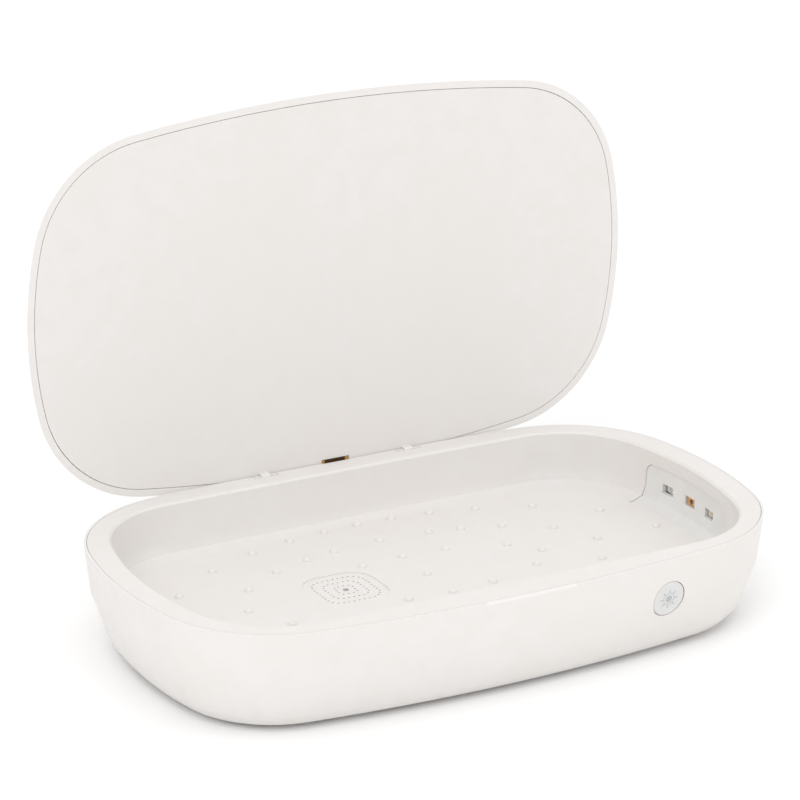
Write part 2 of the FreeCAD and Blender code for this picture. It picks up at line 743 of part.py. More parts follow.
def tray_bosses():
    """Screw posts under the tray: four for the bottom cover and four for the circuit board."""
    top = TRAY_UNDER + MERGE
    bosses = [post(x, y, BOSS_END, top, BOSS_DIAMETER) for x, y in corners(SCREW_X, SCREW_Y)]
    bosses += [post(x, y, BOARD_TOP, top, BOSS_DIAMETER) for x, y in board_holes()]
    return bosses


def grille_block(size, corner, z_low, z_high, flats=CORNER_FLATS):
    return soft_block(GRILLE_X, GRILLE_Y, size, size, corner, z_low, z_high, flats)


def inner_tray():
    """The moulded well with its flange, studs, screw posts, grille seat and lamp window opening."""
    flange = plate(BODY, SHELL_LIP + SEAM, RIM_Z - FLANGE, RIM_Z)
    tray = fuse([flange, well_outside(TRAY_WALL)] + tray_bosses())
    tray = tray.cut(well_hollow())
    tray = tray.cut(hinge_pocket())
    tray = tray.cut(window_form(0))
    for x, y in corners(SCREW_X, SCREW_Y) + board_holes():
        tray = tray.cut(post(x, y, 0, TRAY_UNDER - PAST, SCREW_CORE))
    tray = fuse([tray] + [stud(x, y) for x, y in stud_places()])
    return tray.cut(grille_block(GRILLE_SIZE, GRILLE_CORNER, TRAY_UNDER - PAST, FLOOR_Z + PAST))


def ring_places(half, count):
    """Evenly spaced places round a soft square whose corners take half of each side."""
    corner = half / 2
    straight = 2 * (half - corner)
    bend = corner * math.pi / 2
    side_run = straight + bend
    places = []
    for step in range(count):
        side, run = divmod((step + 0.5) * 4 * side_run / count, side_run)
        if run < straight:
            x = half
            y = run - straight / 2
        else:
            bearing = (run - straight) / corner
            x = half - corner + corner * math.cos(bearing)
            y = straight / 2 + corner * math.sin(bearing)
        spin = FreeCAD.Rotation(UP, 90 * side)
        places.append(spin.multVec(Vector(x, y, 0)))
    return places


def vent_grille():
    """Insert in the well floor: a shallow dish pierced by rings of small holes."""
    low = FLOOR_Z - DISH_DEPTH - GRILLE_THICK
    dish_z = FLOOR_Z - DISH_DEPTH
    grille = grille_block(GRILLE_SIZE, GRILLE_CORNER, low, FLOOR_Z)
    dish = grille_block(GRILLE_SIZE - 2 * GRILLE_RIM, GRILLE_CORNER - GRILLE_RIM, dish_z, FLOOR_Z + PAST)
    holes = [post(GRILLE_X, GRILLE_Y, low - PAST, FLOOR_Z, CENTRE_HOLE, ROUND_SIDES)]
    for half, count in HOLE_RINGS:
        for place in ring_places(half, count):
            x = GRILLE_X + place.x
            y = GRILLE_Y + place.y
            holes.append(post(x, y, low - PAST, FLOOR_Z, HOLE_DIAMETER, HOLE_SIDES))
    return grille.cut(dish).cut(Part.makeCompound(holes))


def pad_holder():
    """Open box under the grille that holds the scented pad."""
    low = TRAY_UNDER - HOLDER_DEPTH
    inside = PAD_SIZE + 2 * PAD_GAP
    outer = grille_block(inside + 2 * HOLDER_WALL, GRILLE_CORNER, low, TRAY_UNDER, 1)
    corner = GRILLE_CORNER - HOLDER_WALL
    return outer.cut(grille_block(inside, corner, low + HOLDER_WALL, TRAY_UNDER + PAST, 1))


def aroma_pad():
    low = TRAY_UNDER - HOLDER_DEPTH + HOLDER_WALL
    return grille_block(PAD_SIZE, GRILLE_CORNER - HOLDER_WALL - PAD_GAP, low, low + PAD_THICK, 1)


def bottom_cover():
    """Stepped plate that closes the base, with counterbored screw posts and seats for the feet."""
    low = SHELL_BOTTOM
    posts = [post(x, y, low, BOSS_END, 2 * SCREW_HEAD) for x, y in corners(SCREW_X, SCREW_Y)]
    cover = fuse([cover_form(0, COVER_GAP), cover_form(COVER_STEP, COVER_GAP)] + posts)
    for x, y in corners(SCREW_X, SCREW_Y):
        cover = cover.cut(post(x, y, low - PAST, low + SHELL_WALL, SCREW_HEAD + SCREW_SLACK))
        cover = cover.cut(post(x, y, low, BOSS_END + PAST, SCREW_CORE + SCREW_SLACK))
    for x, y in corners(FOOT_X, FOOT_Y):
        cover = cover.cut(post(x, y, low - PAST, low + FOOT_SEAT, FOOT_DIAMETER + FOOT_GAP, ROUND_SIDES))
    return cover


def screw(x, y, seat, length):
    """Screw pointing up, its head seated below the given height."""
    head = post(x, y, seat - SCREW_HEAD_HEIGHT, seat, SCREW_HEAD)
    return fuse([head, post(x, y, seat - MERGE, seat + length, SCREW_CORE - 2 * PIN_CLEARANCE)])


def bottom_screws():
    seat = SHELL_BOTTOM + SHELL_WALL
    return Part.makeCompound([screw(x, y, seat, BOTTOM_SCREW_LENGTH) for x, y in corners(SCREW_X, SCREW_Y)])


def board_screws():
    return Part.makeCompound([screw(x, y, BOARD_Z, BOARD_SCREW_LENGTH) for x, y in board_holes()])


def rubber_feet():
    rings = [(FOOT_DIAMETER - 2 * FOOT_EDGE, 0), (FOOT_DIAMETER, FOOT_EDGE)]
    rings += [(FOOT_DIAMETER, SHELL_BOTTOM + FOOT_SEAT)]
    return Part.makeCompound([turned(x, y, rings, ROUND_SIDES) for x, y in corners(FOOT_X, FOOT_Y)])


# ---- electronics ----

def main_board():
    half_x = BOARD_LENGTH / 2
    half_y = BOARD_WIDTH / 2
    board = box(-half_x, half_x, BOARD_Y - half_y, BOARD_Y + half_y, BOARD_Z, BOARD_TOP)
    for x, y in board_holes():
        board = board.cut(post(x, y, BOARD_Z - PAST, BOARD_TOP + PAST, SCREW_CORE + SCREW_SLACK))
    return board


def on_board(place, size):
    """A box-shaped part on the board, placed from the board's middle."""
    x, y = place
    length, width, height = size
    middle = BOARD_Y + y
    return box(x - length / 2, x + length / 2, middle - width / 2, middle + width / 2,
               BOARD_TOP, BOARD_TOP + height)


def control_chip():
    return on_board(CHIP_PLACE, CHIP_SIZE)


def boost_inductor():
    return on_board(INDUCTOR_PLACE, INDUCTOR_SIZE)


def board_connector():
    return on_board(CONNECTOR_PLACE, CONNECTOR_SIZE)


def capacitors():
    cans = []
    for x, y in CAPACITOR_PLACES:
        top = BOARD_TOP + CAPACITOR_HEIGHT
        cans.append(post(x, BOARD_Y + y, BOARD_TOP, top, CAPACITOR_DIAMETER, ROUND_SIDES))
    return Part.makeCompound(cans)


def lid_sensor():
    """Hall sensor under the flange, below the lid's magnet when the lid is shut."""
    middle = -(WELL_WIDTH + SENSOR_WIDTH) / 2 - TRAY_WALL - BOARD_ROOM
    top = RIM_Z - FLANGE
    half_x = SENSOR_LENGTH / 2
    half_y = SENSOR_WIDTH / 2
    front = middle - half_y
    back = middle + half_y
    return box(MAGNET_X - half_x, MAGNET_X + half_x, front, back, top - SENSOR_HEIGHT, top)


def flex_cable():
    """Flat cable that comes up between the hinges."""
    y = POCKET_Y - FLEX_THICK - FLEX_GAP / 2
    half = FLEX_WIDTH / 2
    return box(-half, half, y, y + FLEX_THICK, POCKET_Z, RIM_Z - BEVEL_GAP)


# ---- lid, drawn closed ----

def lid_form():
    """Outside of the lid: a leaning flank with a rounded top edge."""
    lean = math.radians(LID_LEAN)
    centre = (LID_FLANK_RADIUS * math.cos(lean), LID_FACE - LID_FLANK_RADIUS * math.sin(lean))
    corner_z = LID_FACE + LID_THICK - LID_TOP_RADIUS
    reach = LID_FLANK_RADIUS - LID_TOP_RADIUS
    meet = 180 - math.degrees(math.asin((corner_z - centre[1]) / reach))
    corner = (centre[0] + reach * math.cos(math.radians(meet)), corner_z)
    profile = round_points(corner, LID_TOP_RADIUS, 90, meet, LID_TOP_FLATS)
    return moulded(BODY, profile + [(0, LID_FACE)])


def lid_shell():
    """Outer dish of the lid with a ledge for the inner panel."""
    ceiling = LID_FACE + LID_THICK - LID_WALL
    shell = lid_form().cut(faceted(BODY, [(LID_HOLLOW, ceiling), (LID_HOLLOW, LID_FACE)], HIDDEN_FLATS))
    shell = shell.cut(plate(BODY, LID_LAND, LID_FACE - PAST, LID_FACE + LID_PANEL))
    for middle in (-KNUCKLE_X, KNUCKLE_X):
        half = KNUCKLE_HALF + EAR_GAP
        reach = KNUCKLE_RADIUS + EAR_GAP
        relief_z = LID_FACE + KNUCKLE_RADIUS / 2
        shell = shell.cut(box(middle - half, middle + half, HINGE_Y, HINGE_Y + reach,
                              LID_FACE - PAST, relief_z))
    return opened(shell)


def lid_inner_panel():
    """Flat panel that closes the lid, carrying the two hinge knuckles."""
    panel = plate(BODY, LID_LAND + LID_SEAM, LID_FACE, LID_FACE + LID_PANEL)
    for middle in (-KNUCKLE_X, KNUCKLE_X):
        low = middle - KNUCKLE_HALF
        high = middle + KNUCKLE_HALF
        front = HINGE_Y - KNUCKLE_RADIUS
        web = box(low, high, front, HINGE_Y + KNUCKLE_RADIUS / 2, HINGE_Z, LID_FACE + MERGE)
        panel = fuse([panel, web, hinge_bar(low, high, KNUCKLE_RADIUS)])
        panel = panel.cut(hinge_bar(low, high, PIN_DIAMETER / 2 + PIN_CLEARANCE))
    half = FLEX_WIDTH / 2 + FLEX_GAP
    slot = box(-half, half, HINGE_Y - FLEX_TAIL - FLEX_GAP, WIDTH, LID_FACE - PAST, LID_FACE + LID_PANEL / 2)
    return opened(panel.cut(slot))


def lid_magnet():
    low = LID_FACE + LID_PANEL
    y = MAGNET_INSET - WIDTH / 2
    return opened(post(MAGNET_X, y, low, low + MAGNET_THICK, MAGNET_DIAMETER, ROUND_SIDES))


def coil_ferrite():
    low = LID_FACE + LID_PANEL
    return opened(post(0, 0, low, low + FERRITE_THICK, FERRITE_DIAMETER, COIL_SIDES))


def charging_coil():
    low = LID_FACE + LID_PANEL + FERRITE_THICK
    high = low + COIL_THICK
    ring = post(0, 0, low, high, COIL_OUTER, COIL_SIDES)
    return opened(ring.cut(post(0, 0, low - PAST, high + PAST, COIL_INNER, COIL_SIDES)))


def flex_tail():
    """The flat cable's other end, let into the foot of the lid's panel."""
    half = FLEX_WIDTH / 2
    low = LID_FACE + FLEX_GAP
    edge = WIDTH / 2 - LID_LAND - LID_SEAM
    return opened(box(-half, half, HINGE_Y - FLEX_TAIL, edge, low, low + FLEX_THICK))


for node_name, make in (
    ("base_shell", base_shell), ("inner_tray", inner_tray), ("vent_grille", vent_grille),
    ("pad_holder", pad_holder), ("aroma_pad", aroma_pad), ("bottom_cover", bottom_cover),
    ("bottom_screws", bottom_screws), ("rubber_feet", rubber_feet), ("lamp_window_cover", window_cover),
    ("lamp_board", lamp_board), ("main_board", main_board), ("board_screws", board_screws),
    ("usb_c_socket", usb_c_socket), ("control_chip", control_chip), ("boost_inductor", boost_inductor),
    ("board_connector", board_connector), ("capacitors", capacitors), ("button_board", button_board),
    ("tact_switch", tact_switch), ("lid_sensor", lid_sensor), ("hinge_brackets", hinge_brackets),
    ("hinge_pins", hinge_pins), ("flex_cable", flex_cable), ("button_cap", button_cap),
    ("lid_shell", lid_shell), ("lid_inner_panel", lid_inner_panel), ("lid_magnet", lid_magnet),
    ("coil_ferrite", coil_ferrite), ("charging_coil", charging_coil), ("flex_tail", flex_tail),
):
    save(make(), node_name)
for lamp_name, lamp_y in zip(("uvc_led_front", "centre_led", "uvc_led_rear"), aperture_places()):
    save(lamp(lamp_y), lamp_name)
save(at_button(icon_form()), "button_icon")
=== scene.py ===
import math
import bmesh
import bpy
from mathutils import Matrix, Vector


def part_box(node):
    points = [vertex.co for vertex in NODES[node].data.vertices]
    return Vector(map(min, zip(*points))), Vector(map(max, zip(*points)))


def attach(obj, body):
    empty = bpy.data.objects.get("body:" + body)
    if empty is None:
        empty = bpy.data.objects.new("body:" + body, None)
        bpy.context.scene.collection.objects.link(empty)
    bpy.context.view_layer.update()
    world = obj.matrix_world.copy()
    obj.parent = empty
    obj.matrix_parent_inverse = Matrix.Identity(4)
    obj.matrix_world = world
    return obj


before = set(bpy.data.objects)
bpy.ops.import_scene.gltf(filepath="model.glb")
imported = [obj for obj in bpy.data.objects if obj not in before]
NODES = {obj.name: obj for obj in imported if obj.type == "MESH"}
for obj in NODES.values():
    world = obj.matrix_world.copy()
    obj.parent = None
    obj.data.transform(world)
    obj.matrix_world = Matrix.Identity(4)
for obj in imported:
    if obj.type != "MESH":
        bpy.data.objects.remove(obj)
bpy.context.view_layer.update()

MM = 0.001

# ---- camera: where it stands, how far it turns and how long its lens is ----
CAMERA_AZIMUTH = -29.07
CAMERA_ELEVATION = 19.93
CAMERA_ROLL = 0.31
CAMERA_PLACE = Vector((-0.52894, -0.93219, 0.46682))
CAMERA_LENS = 161.87
CAMERA_SHIFT = (0.0007, -0.0017)


# ---------------------------------------------------------------- materials

class Graph:
    """A material's node tree, built one node at a time."""

    def __init__(self, name):
        self.material = bpy.data.materials.new(name)
        self.material.use_nodes = True
        self.tree = self.material.node_tree
        self.tree.nodes.clear()
        self.shader = self.add("ShaderNodeBsdfPrincipled")
        output = self.add("ShaderNodeOutputMaterial")
        self.join(self.shader, "BSDF", output, "Surface")
        self.coords = self.add("ShaderNodeTexCoord")

    def add(self, kind, **settings):
        node = self.tree.nodes.new(kind)
        for key, value in settings.items():
            if hasattr(node, key):
                setattr(node, key, value)
            else:
                node.inputs[key.replace("_", " ")].default_value = value
        return node

    def join(self, source, output, target, target_input):
        self.tree.links.new(source.outputs[output], target.inputs[target_input])

    def noise(self, size, detail=2.0, rough=0.5):
        """Noise whose features are about size metres across."""
        node = self.add("ShaderNodeTexNoise", Scale=1 / size, Detail=detail, Roughness=rough)
        self.join(self.coords, "Object", node, "Vector")
        return node

    def spread(self, source, output, low, high, to_low, to_high):
        node = self.add("ShaderNodeMapRange")
        for name, value in zip(("From Min", "From Max", "To Min", "To Max"), (low, high, to_low, to_high)):
            node.inputs[name].default_value = value
        self.join(source, output, node, "Value")
        return node

    def blend(self, factor, factor_output, first, second):
        node = self.add("ShaderNodeMix", data_type="RGBA")
        self.join(factor, factor_output, node, 0)
        for socket, value in ((6, first), (7, second)):
            if isinstance(value, tuple):
                node.inputs[socket].default_value = (*value, 1)
            else:
                self.tree.links.new(value, node.inputs[socket])
        return node

    def bump(self, source, output, depth, strength=1.0, under=None):
        node = self.add("ShaderNodeBump", Strength=strength, Distance=depth)
        self.join(source, output, node, "Height")
        if under:
            self.join(under, "Normal", node, "Normal")
        return node

    def settle(self, **constants):
        for key, value in constants.items():
            self.shader.inputs[key.replace("_", " ")].default_value = value


WARM_TINT = (1.0, 0.985, 0.965)
TRACK_PITCH = 1.1 * MM
WIRE_PITCH = 0.8 * MM
SCRATCH_PITCH = 0.4 * MM


def shade(colour, factor):
    """A colour made darker or lighter."""
    return tuple(min(1.0, part * factor) for part in colour)


def moulding(name, colour, rough, spark=0.00045, depth=0.000012, mottle=0.02):
    """Matt injection moulding: spark-eroded grain, faint flow mottling and uneven gloss."""
    g = Graph(name)
    flow = g.noise(0.055, 3.0, 0.55)
    patch = g.noise(0.009, 4.0, 0.6)
    grain = g.noise(spark, 2.0, 0.65)
    swell = g.noise(0.014, 1.5, 0.4)
    warm = tuple(part * tint for part, tint in zip(colour, WARM_TINT))
    flow_range = g.spread(flow, "Fac", 0.3, 0.7, 0, 1)
    base = g.blend(flow_range, "Result", colour, shade(warm, 1 - mottle * 0.5))
    patch_range = g.spread(patch, "Fac", 0.35, 0.75, 0, 1)
    second = g.blend(patch_range, "Result", base.outputs[2], shade(warm, 1 - mottle))
    speck = g.spread(grain, "Fac", 0.62, 0.8, 0, 0.35)
    last = g.blend(speck, "Result", second.outputs[2], shade(colour, 1 - mottle * 2.2))
    g.join(last, 2, g.shader, "Base Color")
    gloss = g.spread(patch, "Fac", 0.3, 0.7, rough - 0.05, rough + 0.06)
    g.join(gloss, "Result", g.shader, "Roughness")
    low = g.bump(swell, "Fac", depth * 4, 0.35)
    high = g.bump(grain, "Fac", depth, 0.8, low)
    g.join(high, "Normal", g.shader, "Normal")
    g.settle(IOR=1.49, Specular_IOR_Level=0.42)
    return g.material


def satin(name, colour, rough):
    """Smooth satin moulding with a light coat of gloss, for the button and the lamp window."""
    g = Graph(name)
    cloud = g.noise(0.006, 3.0, 0.5)
    grain = g.noise(0.00025, 2.0, 0.6)
    mix = g.blend(g.spread(cloud, "Fac", 0.3, 0.7, 0, 1), "Result", colour, shade(colour, 0.955))
    g.join(mix, 2, g.shader, "Base Color")
    gloss = g.spread(cloud, "Fac", 0.3, 0.7, rough - 0.04, rough + 0.05)
    g.join(gloss, "Result", g.shader, "Roughness")
    g.join(g.bump(grain, "Fac", 0.000006, 0.6), "Normal", g.shader, "Normal")
    g.settle(IOR=1.5, Coat_Weight=0.12, Coat_Roughness=0.35)
    return g.material


def metal(name, colour, rough):
    """Plated metal with fine scratches along its length."""
    g = Graph(name)
    stretch = g.add("ShaderNodeMapping")
    stretch.inputs["Scale"].default_value = (1, 12, 12)
    g.join(g.coords, "Object", stretch, "Vector")
    lines = g.add("ShaderNodeTexNoise", Scale=1 / SCRATCH_PITCH / 4, Detail=3.0)
    g.join(stretch, "Vector", lines, "Vector")
    mix = g.blend(g.spread(lines, "Fac", 0.3, 0.7, 0, 1), "Result", colour, shade(colour, 0.8))
    g.join(mix, 2, g.shader, "Base Color")
    gloss = g.spread(lines, "Fac", 0.3, 0.7, rough - 0.07, rough + 0.1)
    g.join(gloss, "Result", g.shader, "Roughness")
    g.join(g.bump(lines, "Fac", 0.000004, 0.5), "Normal", g.shader, "Normal")
    g.settle(Metallic=1.0)
    return g.material


def board(name, mask, track):
    """Circuit board: solder mask over faint tracks, glossy and a little uneven."""
    g = Graph(name)
    tracks = g.add("ShaderNodeTexBrick", Scale=1 / TRACK_PITCH / 4, Mortar_Size=0.06)
    g.join(g.coords, "Object", tracks, "Vector")
    cloud = g.noise(0.004, 3.0)
    under = g.blend(tracks, "Fac", mask, track)
    last = g.blend(g.spread(cloud, "Fac", 0.3, 0.7, 0, 0.3), "Result", under.outputs[2], shade(mask, 0.8))
    g.join(last, 2, g.shader, "Base Color")
    gloss = g.spread(cloud, "Fac", 0.3, 0.7, 0.24, 0.4)
    g.join(gloss, "Result", g.shader, "Roughness")
    g.join(g.bump(tracks, "Fac", 0.00002, 0.6), "Normal", g.shader, "Normal")
    g.settle(Coat_Weight=0.3, Coat_Roughness=0.2)
    return g.material


def felt(name, colour):
    """Pressed fibre pad."""
    g = Graph(name)
    fibre = g.noise(0.0003, 6.0, 0.75)
    clump = g.noise(0.003, 3.0)
    first = g.blend(g.spread(fibre, "Fac", 0.3, 0.7, 0, 1), "Result", colour, shade(colour, 0.8))
    last = g.blend(g.spread(clump, "Fac", 0.3, 0.7, 0, 0.4), "Result", first.outputs[2], shade(colour, 0.9))
    g.join(last, 2, g.shader, "Base Color")
    g.join(g.spread(fibre, "Fac", 0.3, 0.7, 0.8, 1.0), "Result", g.shader, "Roughness")
    g.join(g.bump(fibre, "Fac", 0.0001, 0.9), "Normal", g.shader, "Normal")
    g.settle(Sheen_Weight=0.4)
    return g.material


def winding(name, colour, middle):
    """Enamelled wire wound flat about the given middle."""
    g = Graph(name)
    place = g.add("ShaderNodeMapping")
    place.inputs["Location"].default_value = tuple(-part for part in middle)
    g.join(g.coords, "Object", place, "Vector")
    turns = g.add("ShaderNodeTexWave", wave_type="RINGS", rings_direction="Y", Scale=1 / WIRE_PITCH / 20)
    g.join(place, "Vector", turns, "Vector")
    mix = g.blend(turns, "Fac", shade(colour, 0.45), colour)
    g.join(mix, 2, g.shader, "Base Color")
    g.join(g.spread(g.noise(0.002), "Fac", 0.3, 0.7, 0.25, 0.4), "Result", g.shader, "Roughness")
    g.join(g.bump(turns, "Fac", 0.0002, 0.8), "Normal", g.shader, "Normal")
    g.settle(Metallic=0.85)
    return g.material


def ribbon(name, film, gilt, low, high):
    """Polyimide ribbon with a bright copper edge at both sides of its width."""
    g = Graph(name)
    split = g.add("ShaderNodeSeparateXYZ")
    g.join(g.coords, "Object", split, "Vector")
    across = g.spread(split, "X", low, high, -1, 1)
    away = g.add("ShaderNodeMath", operation="ABSOLUTE")
    g.join(across, "Result", away, 0)
    edge = g.spread(away, "Value", 0.78, 0.86, 0, 1)
    grain = g.noise(0.0006, 3.0)
    body = g.blend(g.spread(grain, "Fac", 0.3, 0.7, 0, 1), "Result", film, shade(film, 0.7))
    last = g.blend(edge, "Result", body.outputs[2], gilt)
    g.join(last, 2, g.shader, "Base Color")
    g.join(g.spread(grain, "Fac", 0.3, 0.7, 0.25, 0.42), "Result", g.shader, "Roughness")
    g.join(g.bump(grain, "Fac", 0.00001, 0.6), "Normal", g.shader, "Normal")
    return g.material


def resin(name, colour, deep, rough=0.22):
    """Cast resin or ceramic with a clouded depth under a clear coat."""
    g = Graph(name)
    cloud = g.noise(0.0012, 4.0, 0.6)
    mix = g.blend(g.spread(cloud, "Fac", 0.35, 0.65, 0, 1), "Result", colour, deep)
    g.join(mix, 2, g.shader, "Base Color")
    g.join(g.spread(cloud, "Fac", 0.3, 0.7, rough - 0.06, rough + 0.1), "Result", g.shader, "Roughness")
    g.join(g.bump(g.noise(0.0002, 2.0), "Fac", 0.000008, 0.6), "Normal", g.shader, "Normal")
    g.settle(Coat_Weight=0.5, Coat_Roughness=0.1)
    return g.material


WHITE = (0.765, 0.749, 0.737)
STEEL = (0.6, 0.6, 0.61)
COIL_LOW, COIL_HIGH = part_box("charging_coil")
COIL_MIDDLE = tuple((a + b) / 2 for a, b in zip(COIL_LOW, COIL_HIGH))
RIBBON_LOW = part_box("flex_cable")[0][0]
RIBBON_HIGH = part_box("flex_cable")[1][0]

tray_white = moulding("tray_moulding", shade(WHITE, 0.985), 0.43)
steel = metal("plated_steel", STEEL, 0.3)
epoxy = satin("moulded_epoxy", (0.03, 0.03, 0.034), 0.42)
film = ribbon("ribbon_film", (0.10, 0.045, 0.02), (0.72, 0.38, 0.10), RIBBON_LOW, RIBBON_HIGH)
FINISHES = {
    "base_shell": moulding("shell_moulding", shade(WHITE, 1.03), 0.46),
    "bottom_cover": moulding("cover_moulding", shade(WHITE, 0.98), 0.5),
    "inner_tray": tray_white,
    "vent_grille": tray_white,
    "pad_holder": tray_white,
    "hinge_brackets": moulding("bracket_moulding", shade(WHITE, 0.95), 0.4),
    "lid_shell": moulding("lid_moulding", shade(WHITE, 1.02), 0.44),
    "lid_inner_panel": moulding("panel_moulding", WHITE, 0.5),
    "lamp_window_cover": satin("window_moulding", (0.74, 0.735, 0.72), 0.42),
    "button_cap": satin("button_moulding", (0.70, 0.70, 0.69), 0.38),
    "button_icon": satin("icon_print", (0.47, 0.49, 0.495), 0.5),
    "rubber_feet": moulding("foot_rubber", (0.55, 0.55, 0.54), 0.75, 0.0006, 0.00002),
    "main_board": board("board_mask", (0.02, 0.16, 0.07), (0.05, 0.24, 0.12)),
    "button_board": board("button_mask", (0.02, 0.14, 0.07), (0.05, 0.22, 0.11)),
    "lamp_board": board("lamp_mask", (0.74, 0.75, 0.74), (0.64, 0.66, 0.66)),
    "uvc_led_front": resin("lamp_quartz", (0.50, 0.42, 0.30), (0.20, 0.12, 0.06)),
    "centre_led": resin("lamp_amber", (0.72, 0.33, 0.06), (0.30, 0.12, 0.03)),
    "uvc_led_rear": resin("lamp_smoke", (0.42, 0.45, 0.48), (0.16, 0.17, 0.20)),
    "board_connector": resin("nylon", (0.72, 0.70, 0.62), (0.66, 0.63, 0.54), 0.4),
    "flex_cable": film,
    "flex_tail": film,
    "aroma_pad": felt("pad_felt", (0.72, 0.70, 0.66)),
    "lid_magnet": metal("magnet_nickel", (0.7, 0.69, 0.66), 0.15),
    "coil_ferrite": moulding("ferrite", (0.06, 0.06, 0.065), 0.6, 0.0005, 0.00001, 0.2),
    "charging_coil": winding("coil_wire", (0.72, 0.33, 0.14), COIL_MIDDLE),
}
for steel_node in ("hinge_pins", "bottom_screws", "board_screws", "usb_c_socket", "tact_switch"):
    FINISHES[steel_node] = steel
for epoxy_node in ("control_chip", "boost_inductor", "capacitors", "lid_sensor"):
    FINISHES[epoxy_node] = epoxy
for node_name, node in NODES.items():
    node.data.materials.clear()
    node.data.materials.append(FINISHES[node_name])


# ---------------------------------------------------------------- smooth shading of the moulded forms

CREASE = math.radians(32)
WELD_REACH = 0.002 * MM


def smooth_group():
    """Geometry nodes that shade smooth across every edge flatter than the crease angle."""
    tree = bpy.data.node_groups.new("smooth_forms", "GeometryNodeTree")
    tree.interface.new_socket("Geometry", in_out="INPUT", socket_type="NodeSocketGeometry")
    tree.interface.new_socket("Geometry", in_out="OUTPUT", socket_type="NodeSocketGeometry")
    start = tree.nodes.new("NodeGroupInput")
    end = tree.nodes.new("NodeGroupOutput")
    angle = tree.nodes.new("GeometryNodeInputMeshEdgeAngle")
    sharp = tree.nodes.new("FunctionNodeCompare")
    sharp.operation = "GREATER_THAN"
    sharp.inputs[1].default_value = CREASE
    faces = tree.nodes.new("GeometryNodeSetShadeSmooth")
    faces.domain = "FACE"
    edges = tree.nodes.new("GeometryNodeSetShadeSmooth")
    edges.domain = "EDGE"
    edges.inputs["Shade Smooth"].default_value = False
    tree.links.new(angle.outputs["Unsigned Angle"], sharp.inputs[0])
    tree.links.new(start.outputs[0], faces.inputs["Geometry"])
    tree.links.new(faces.outputs[0], edges.inputs["Geometry"])
    tree.links.new(sharp.outputs[0], edges.inputs["Selection"])
    tree.links.new(edges.outputs[0], end.inputs[0])
    return tree


SMOOTH = smooth_group()


def smoothed(piece):
    """Join the piece's loose triangles and shade its curved forms smooth."""
    weld = piece.modifiers.new("weld", "WELD")
    weld.merge_threshold = WELD_REACH
    shading = piece.modifiers.new("smooth", "NODES")
    shading.node_group = SMOOTH


for node in NODES.values():
    smoothed(node)


# ---------------------------------------------------------------- round studs

STUD_REACH = 1.45 * MM
STUD_RISE = 1.2 * MM
CAD_STUD_RISE = 1.1 * MM
STUD_STEPS = 28
STUD_RINGS = 8
STUD_SINK = 0.1 * MM
STUD_LEVEL = 0.01 * MM
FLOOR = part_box("vent_grille")[1][2]


def new_piece(name, form, finish, body):
    """A mesh object made from a finished bmesh, riding on a body, shaded smooth."""
    mesh = bpy.data.meshes.new(name)
    form.to_mesh(mesh)
    form.free()
    mesh.materials.append(finish)
    piece = bpy.data.objects.new(name, mesh)
    bpy.context.scene.collection.objects.link(piece)
    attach(piece, body)
    smoothed(piece)


def stud_middles():
    """Middles of the studs, from the flat tops that the moulded floor has at their height."""
    top = FLOOR + CAD_STUD_RISE
    clusters = []
    for vertex in NODES["inner_tray"].data.vertices:
        if abs(vertex.co.z - top) > STUD_LEVEL:
            continue
        spot = vertex.co.xy.copy()
        near = [cluster for cluster in clusters if (cluster[0] - spot).length < STUD_REACH]
        if near:
            near[0].append(spot)
        else:
            clusters.append([spot])
    middles = []
    for cluster in clusters:
        xs = [spot.x for spot in cluster]
        ys = [spot.y for spot in cluster]
        middles.append(((min(xs) + max(xs)) / 2, (min(ys) + max(ys)) / 2))
    return middles


def stud_domes():
    """A low spherical dome over each stud, its foot just under the floor."""
    radius = (STUD_REACH ** 2 + STUD_RISE ** 2) / (2 * STUD_RISE)
    middle_z = FLOOR + STUD_RISE - radius
    sweep = math.acos((FLOOR - STUD_SINK - middle_z) / radius)
    domes = bmesh.new()
    for x, y in stud_middles():
        crown = domes.verts.new((x, y, middle_z + radius))
        above = None
        for ring in range(1, STUD_RINGS + 1):
            fall = sweep * ring / STUD_RINGS
            reach = radius * math.sin(fall)
            z = middle_z + radius * math.cos(fall)
            loop = []
            for step in range(STUD_STEPS):
                turn = 2 * math.pi * step / STUD_STEPS
                place = (x + reach * math.cos(turn), y + reach * math.sin(turn), z)
                loop.append(domes.verts.new(place))
            for step in range(STUD_STEPS):
                after = (step + 1) % STUD_STEPS
                if above is None:
                    domes.faces.new((crown, loop[step], loop[after]))
                else:
                    domes.faces.new((above[step], loop[step], loop[after], above[after]))
            above = loop
        domes.faces.new(tuple(reversed(above)))
    new_piece("stud_domes", domes, tray_white, "base")


stud_domes()


# ---------------------------------------------------------------- lamp bodies seen through the window

LAMP_FORWARD = 2.3 * MM
LAMP_SIDE = 0.45 * MM
LAMP_LENS = 0.95 * MM
LAMP_EDGE = 0.25 * MM
LENS_STEPS = 24
LENS_RINGS = 12
LENS_BULGE = 0.25


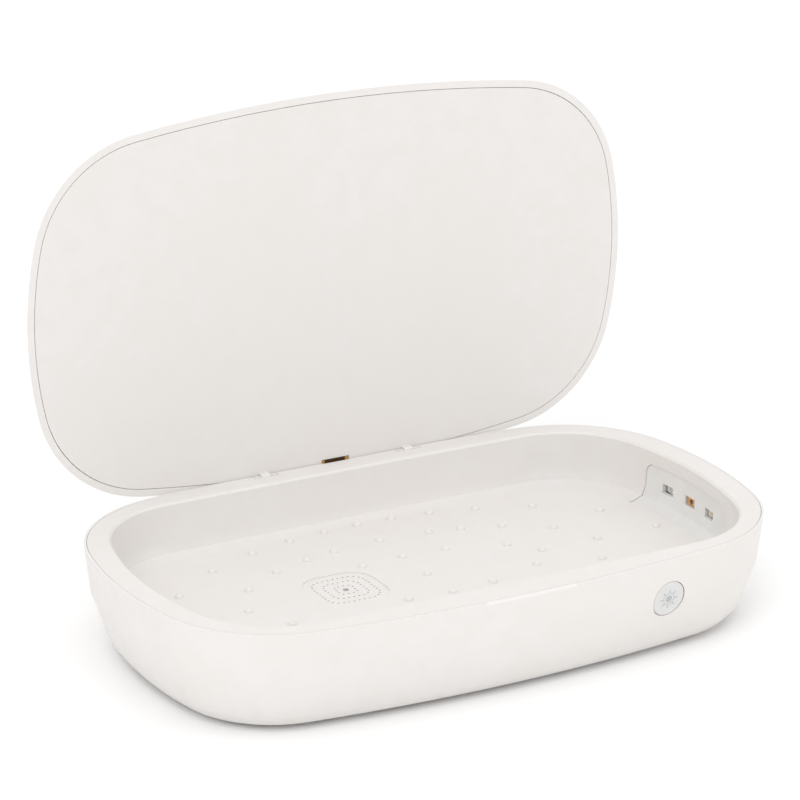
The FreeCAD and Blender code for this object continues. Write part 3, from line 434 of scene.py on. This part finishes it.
def lamp_body(node_name, finish, lens):
    """The lamp's housing, which comes forward in its opening, with a round lens on the front."""
    low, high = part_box(node_name)
    front = low[0] - LAMP_FORWARD
    sizes = (low[0] - front, high[1] - low[1] + 2 * LAMP_SIDE, high[2] - low[2])
    middle = ((front + low[0]) / 2, (low[1] + high[1]) / 2, (low[2] + high[2]) / 2)
    form = bmesh.new()
    bmesh.ops.create_cube(form, size=1, matrix=Matrix.Translation(middle) @ Matrix.Diagonal((*sizes, 1)))
    bmesh.ops.bevel(form, geom=form.edges[:], offset=LAMP_EDGE, segments=3, profile=0.5, affect="EDGES")
    new_piece(node_name + "_housing", form, finish, "base")
    eye = bmesh.new()
    place = Matrix.Translation((front, middle[1], middle[2])) @ Matrix.Rotation(math.radians(90), 4, "Y")
    bmesh.ops.create_uvsphere(eye, u_segments=LENS_STEPS, v_segments=LENS_RINGS, radius=LAMP_LENS,
                              matrix=place @ Matrix.Diagonal((1, 1, LENS_BULGE, 1)))
    new_piece(node_name + "_lens", eye, lens, "base")


ceramic = resin("lamp_ceramic", (0.80, 0.77, 0.70), (0.70, 0.66, 0.58))
quartz = resin("lens_quartz", (0.66, 0.55, 0.38), (0.50, 0.36, 0.18))
amber = resin("lens_amber", (0.10, 0.04, 0.015), (0.03, 0.012, 0.006))
lamp_body("uvc_led_front", ceramic, quartz)
lamp_body("centre_led", resin("ring_amber", (0.80, 0.40, 0.08), (0.55, 0.22, 0.04)), amber)
lamp_body("uvc_led_rear", ceramic, resin("lens_smoke", (0.50, 0.54, 0.58), (0.36, 0.40, 0.46)))


# ---------------------------------------------------------------- stage, light and camera

def stage_floor():
    bpy.ops.mesh.primitive_plane_add(size=12, location=(0, 0, 0))
    floor = bpy.context.object
    floor.name = "floor"
    g = Graph("floor_paper")
    tone = g.noise(0.2, 2.0)
    mix = g.blend(tone, "Fac", (0.93, 0.93, 0.93), (0.95, 0.95, 0.95))
    g.join(mix, 2, g.shader, "Base Color")
    g.settle(Roughness=0.9)
    floor.data.materials.append(g.material)


def soft_box(name, place, aim, size, power):
    """A rectangular studio light turned towards a point."""
    data = bpy.data.lights.new(name, "AREA")
    data.shape = "RECTANGLE"
    data.size, data.size_y = size
    data.energy = power
    lamp = bpy.data.objects.new(name, data)
    lamp.location = place
    lamp.rotation_euler = (Vector(aim) - Vector(place)).to_track_quat("-Z", "Y").to_euler()
    bpy.context.scene.collection.objects.link(lamp)


def surround(strength):
    world = bpy.data.worlds.new("studio")
    world.use_nodes = True
    background = world.node_tree.nodes["Background"]
    background.inputs["Color"].default_value = (1, 1, 1, 1)
    background.inputs["Strength"].default_value = strength
    bpy.context.scene.world = world


def stand_camera():
    azimuth, elevation, roll = (math.radians(a) for a in (CAMERA_AZIMUTH, CAMERA_ELEVATION, CAMERA_ROLL))
    right = Vector((math.cos(azimuth), math.sin(azimuth), 0))
    back = Vector((math.sin(azimuth) * math.cos(elevation), -math.cos(azimuth) * math.cos(elevation),
                   math.sin(elevation)))
    up = back.cross(right)
    right, up = (right * math.cos(roll) + up * math.sin(roll), up * math.cos(roll) - right * math.sin(roll))
    data = bpy.data.cameras.new("camera")
    data.lens = CAMERA_LENS
    data.sensor_width = 36
    data.shift_x, data.shift_y = CAMERA_SHIFT
    camera = bpy.data.objects.new("camera", data)
    turn = Matrix((right, up, back)).transposed()
    camera.matrix_world = Matrix.Translation(CAMERA_PLACE) @ turn.to_4x4()
    bpy.context.scene.collection.objects.link(camera)
    bpy.context.scene.camera = camera


LIGHTS = (
    ("key", (-1.1, -0.9, 1.5), (0, 0, 0.05), (1.2, 1.2), 10.5),
    ("fill", (1.4, -1.0, 0.9), (0, 0, 0.05), (1.2, 1.0), 4),
    ("top", (0.1, 0.2, 1.9), (0, 0, 0), (1.6, 1.6), 5),
)
SKY_STRENGTH = 0.88

stage_floor()
surround(SKY_STRENGTH)
for light in LIGHTS:
    soft_box(*light)
stand_camera()
bpy.context.scene.view_settings.view_transform = "Standard"
